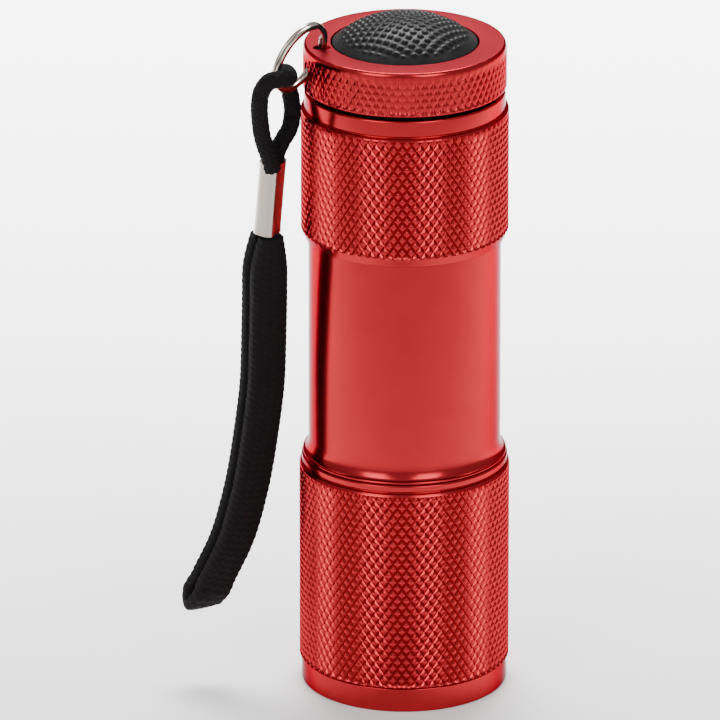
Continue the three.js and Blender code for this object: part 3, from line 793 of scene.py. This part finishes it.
def finish_nodes(material, *names):
    """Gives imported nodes, whose meshes stay as they are, a material."""
    for name in names:
        dress(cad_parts[name], material)


def moulded_plastic(name, hex_colour, roughness):
    """Moulded ABS, or film of the same gloss: even in colour, with an eroded grain, drawn
    0.14 mm wide, that softens the highlights."""
    material, tree, shader = new_material(name, Base_Color=to_linear(hex_colour), IOR=1.54)
    place = add_node(tree, "ShaderNodeTexCoord").outputs["Object"]
    grain = add_node(tree, "ShaderNodeTexNoise", inputs={"Scale": 1 / (0.14 * mm)},
                     links={"Vector": place})
    satin = add_node(tree, "ShaderNodeMapRange",
                     inputs={"To Min": roughness - 0.06, "To Max": roughness + 0.08},
                     links={"Value": grain.outputs["Fac"]})
    bump = add_node(tree, "ShaderNodeBump", inputs={"Strength": 0.2, "Distance": 0.02 * mm},
                    links={"Height": grain.outputs["Fac"]})
    tree.links.new(satin.outputs["Result"], shader.inputs["Roughness"])
    tree.links.new(bump.outputs["Normal"], shader.inputs["Normal"])
    return material


finish_nodes(moulded_plastic("black_abs", "#1C1C1E", 0.42), "carrier_frame", "carrier_end_plate",
             "switch_housing", "switch_plunger")
finish_nodes(moulded_plastic("cell_shrink_film", "#2B4F8C", 0.3), "cell_1", "cell_2", "cell_3")
finish_nodes(moulded_plastic("green_circuit_board", "#1F6B3A", 0.35), "led_board")
finish_nodes(bright_metal("turned_brass", "#C9A558", 0.25), "contact_plus", "contact_minus",
             "switch_contact", "switch_retainer")
finish_nodes(bright_metal("spring_wire", "#B8B8B4", 0.28), "board_spring", "tail_spring",
             "switch_spring", "cell_spring_1", "cell_spring_2", "cell_spring_3")
finish_nodes(nickel, "bridge_front", "bridge_rear")
finish_nodes(black_rubber, "tail_oring")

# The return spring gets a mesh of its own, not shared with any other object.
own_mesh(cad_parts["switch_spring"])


# ---------------------------------------------------------------- floor, light and camera
# A pale matt floor in an even white room, a soft box on each side of the camera, and a box with
# a grid above and behind that lights the floor there. The lens is long, so lines stay parallel.

floor_half = 3
floor_corners = floor_half * np.array([[[-1, -1, 0], [1, -1, 0]], [[-1, 1, 0], [1, 1, 0]]], float)
floor = grid_piece("floor", floor_corners, ring=False)
paper, _, _ = new_material("white_paper", Base_Color=to_linear("#F4F4F3"), Roughness=0.9)
dress(floor, paper)

world = bpy.data.worlds.new("studio")
bpy.context.scene.world = world
world.use_nodes = True
room = world.node_tree.nodes["Background"]
room.inputs["Color"].default_value = to_linear("#F2F2F4")
room.inputs["Strength"].default_value = 0.6

camera_azimuth = -13.5
camera_elevation = 20.7


def direction(azimuth, elevation):
    """Unit vector from the torch at an azimuth, in degrees to the right of the camera's, and an
    elevation above the floor."""
    heading = math.radians(camera_azimuth + azimuth - 90)
    lift = math.radians(elevation)
    return Vector((math.cos(heading) * math.cos(lift), math.sin(heading) * math.cos(lift),
                   math.sin(lift)))


def soft_light(name, azimuth, elevation, distance, wide, high, power, aim=(0, 0, 0.05), grid=180):
    """A rectangular soft box that faces `aim`. Its grid keeps the light inside a cone `grid`
    degrees wide."""
    place = Vector(aim) + distance * direction(azimuth, elevation)
    light = bpy.data.lights.new(name, "AREA")
    light.shape = "RECTANGLE"
    light.size = wide
    light.size_y = high
    light.energy = power
    light.spread = math.radians(grid)
    lamp = bpy.data.objects.new(name, light)
    lamp.location = place
    lamp.rotation_euler = (Vector(aim) - place).to_track_quat("-Z", "Y").to_euler()
    bpy.context.scene.collection.objects.link(lamp)


soft_light("left_box", -35, 28, 0.7, 0.32, 0.5, 2.4)
soft_light("right_box", 28, 28, 0.7, 0.32, 0.5, 2.4)
soft_light("back_box", 180, 75, 0.6, 0.9, 0.35, 9, aim=(0, 0.3, 0), grid=60)

camera_distance = 1.5
camera_forward = -direction(0, camera_elevation)
camera_right = direction(90, 0)
camera_up = camera_right.cross(camera_forward)
torch_middle = Vector((0, 0, 0.04415))
camera_aim = torch_middle - camera_right * 0.00576 - camera_up * 0.00032
camera_data = bpy.data.cameras.new("camera")
camera_data.lens = 579.5
camera_data.sensor_width = 36
camera_data.clip_end = 20
camera = bpy.data.objects.new("camera", camera_data)
camera.location = camera_aim - camera_forward * camera_distance
camera.rotation_euler = camera_forward.to_track_quat("-Z", "Y").to_euler()
bpy.context.scene.collection.objects.link(camera)
bpy.context.scene.camera = camera
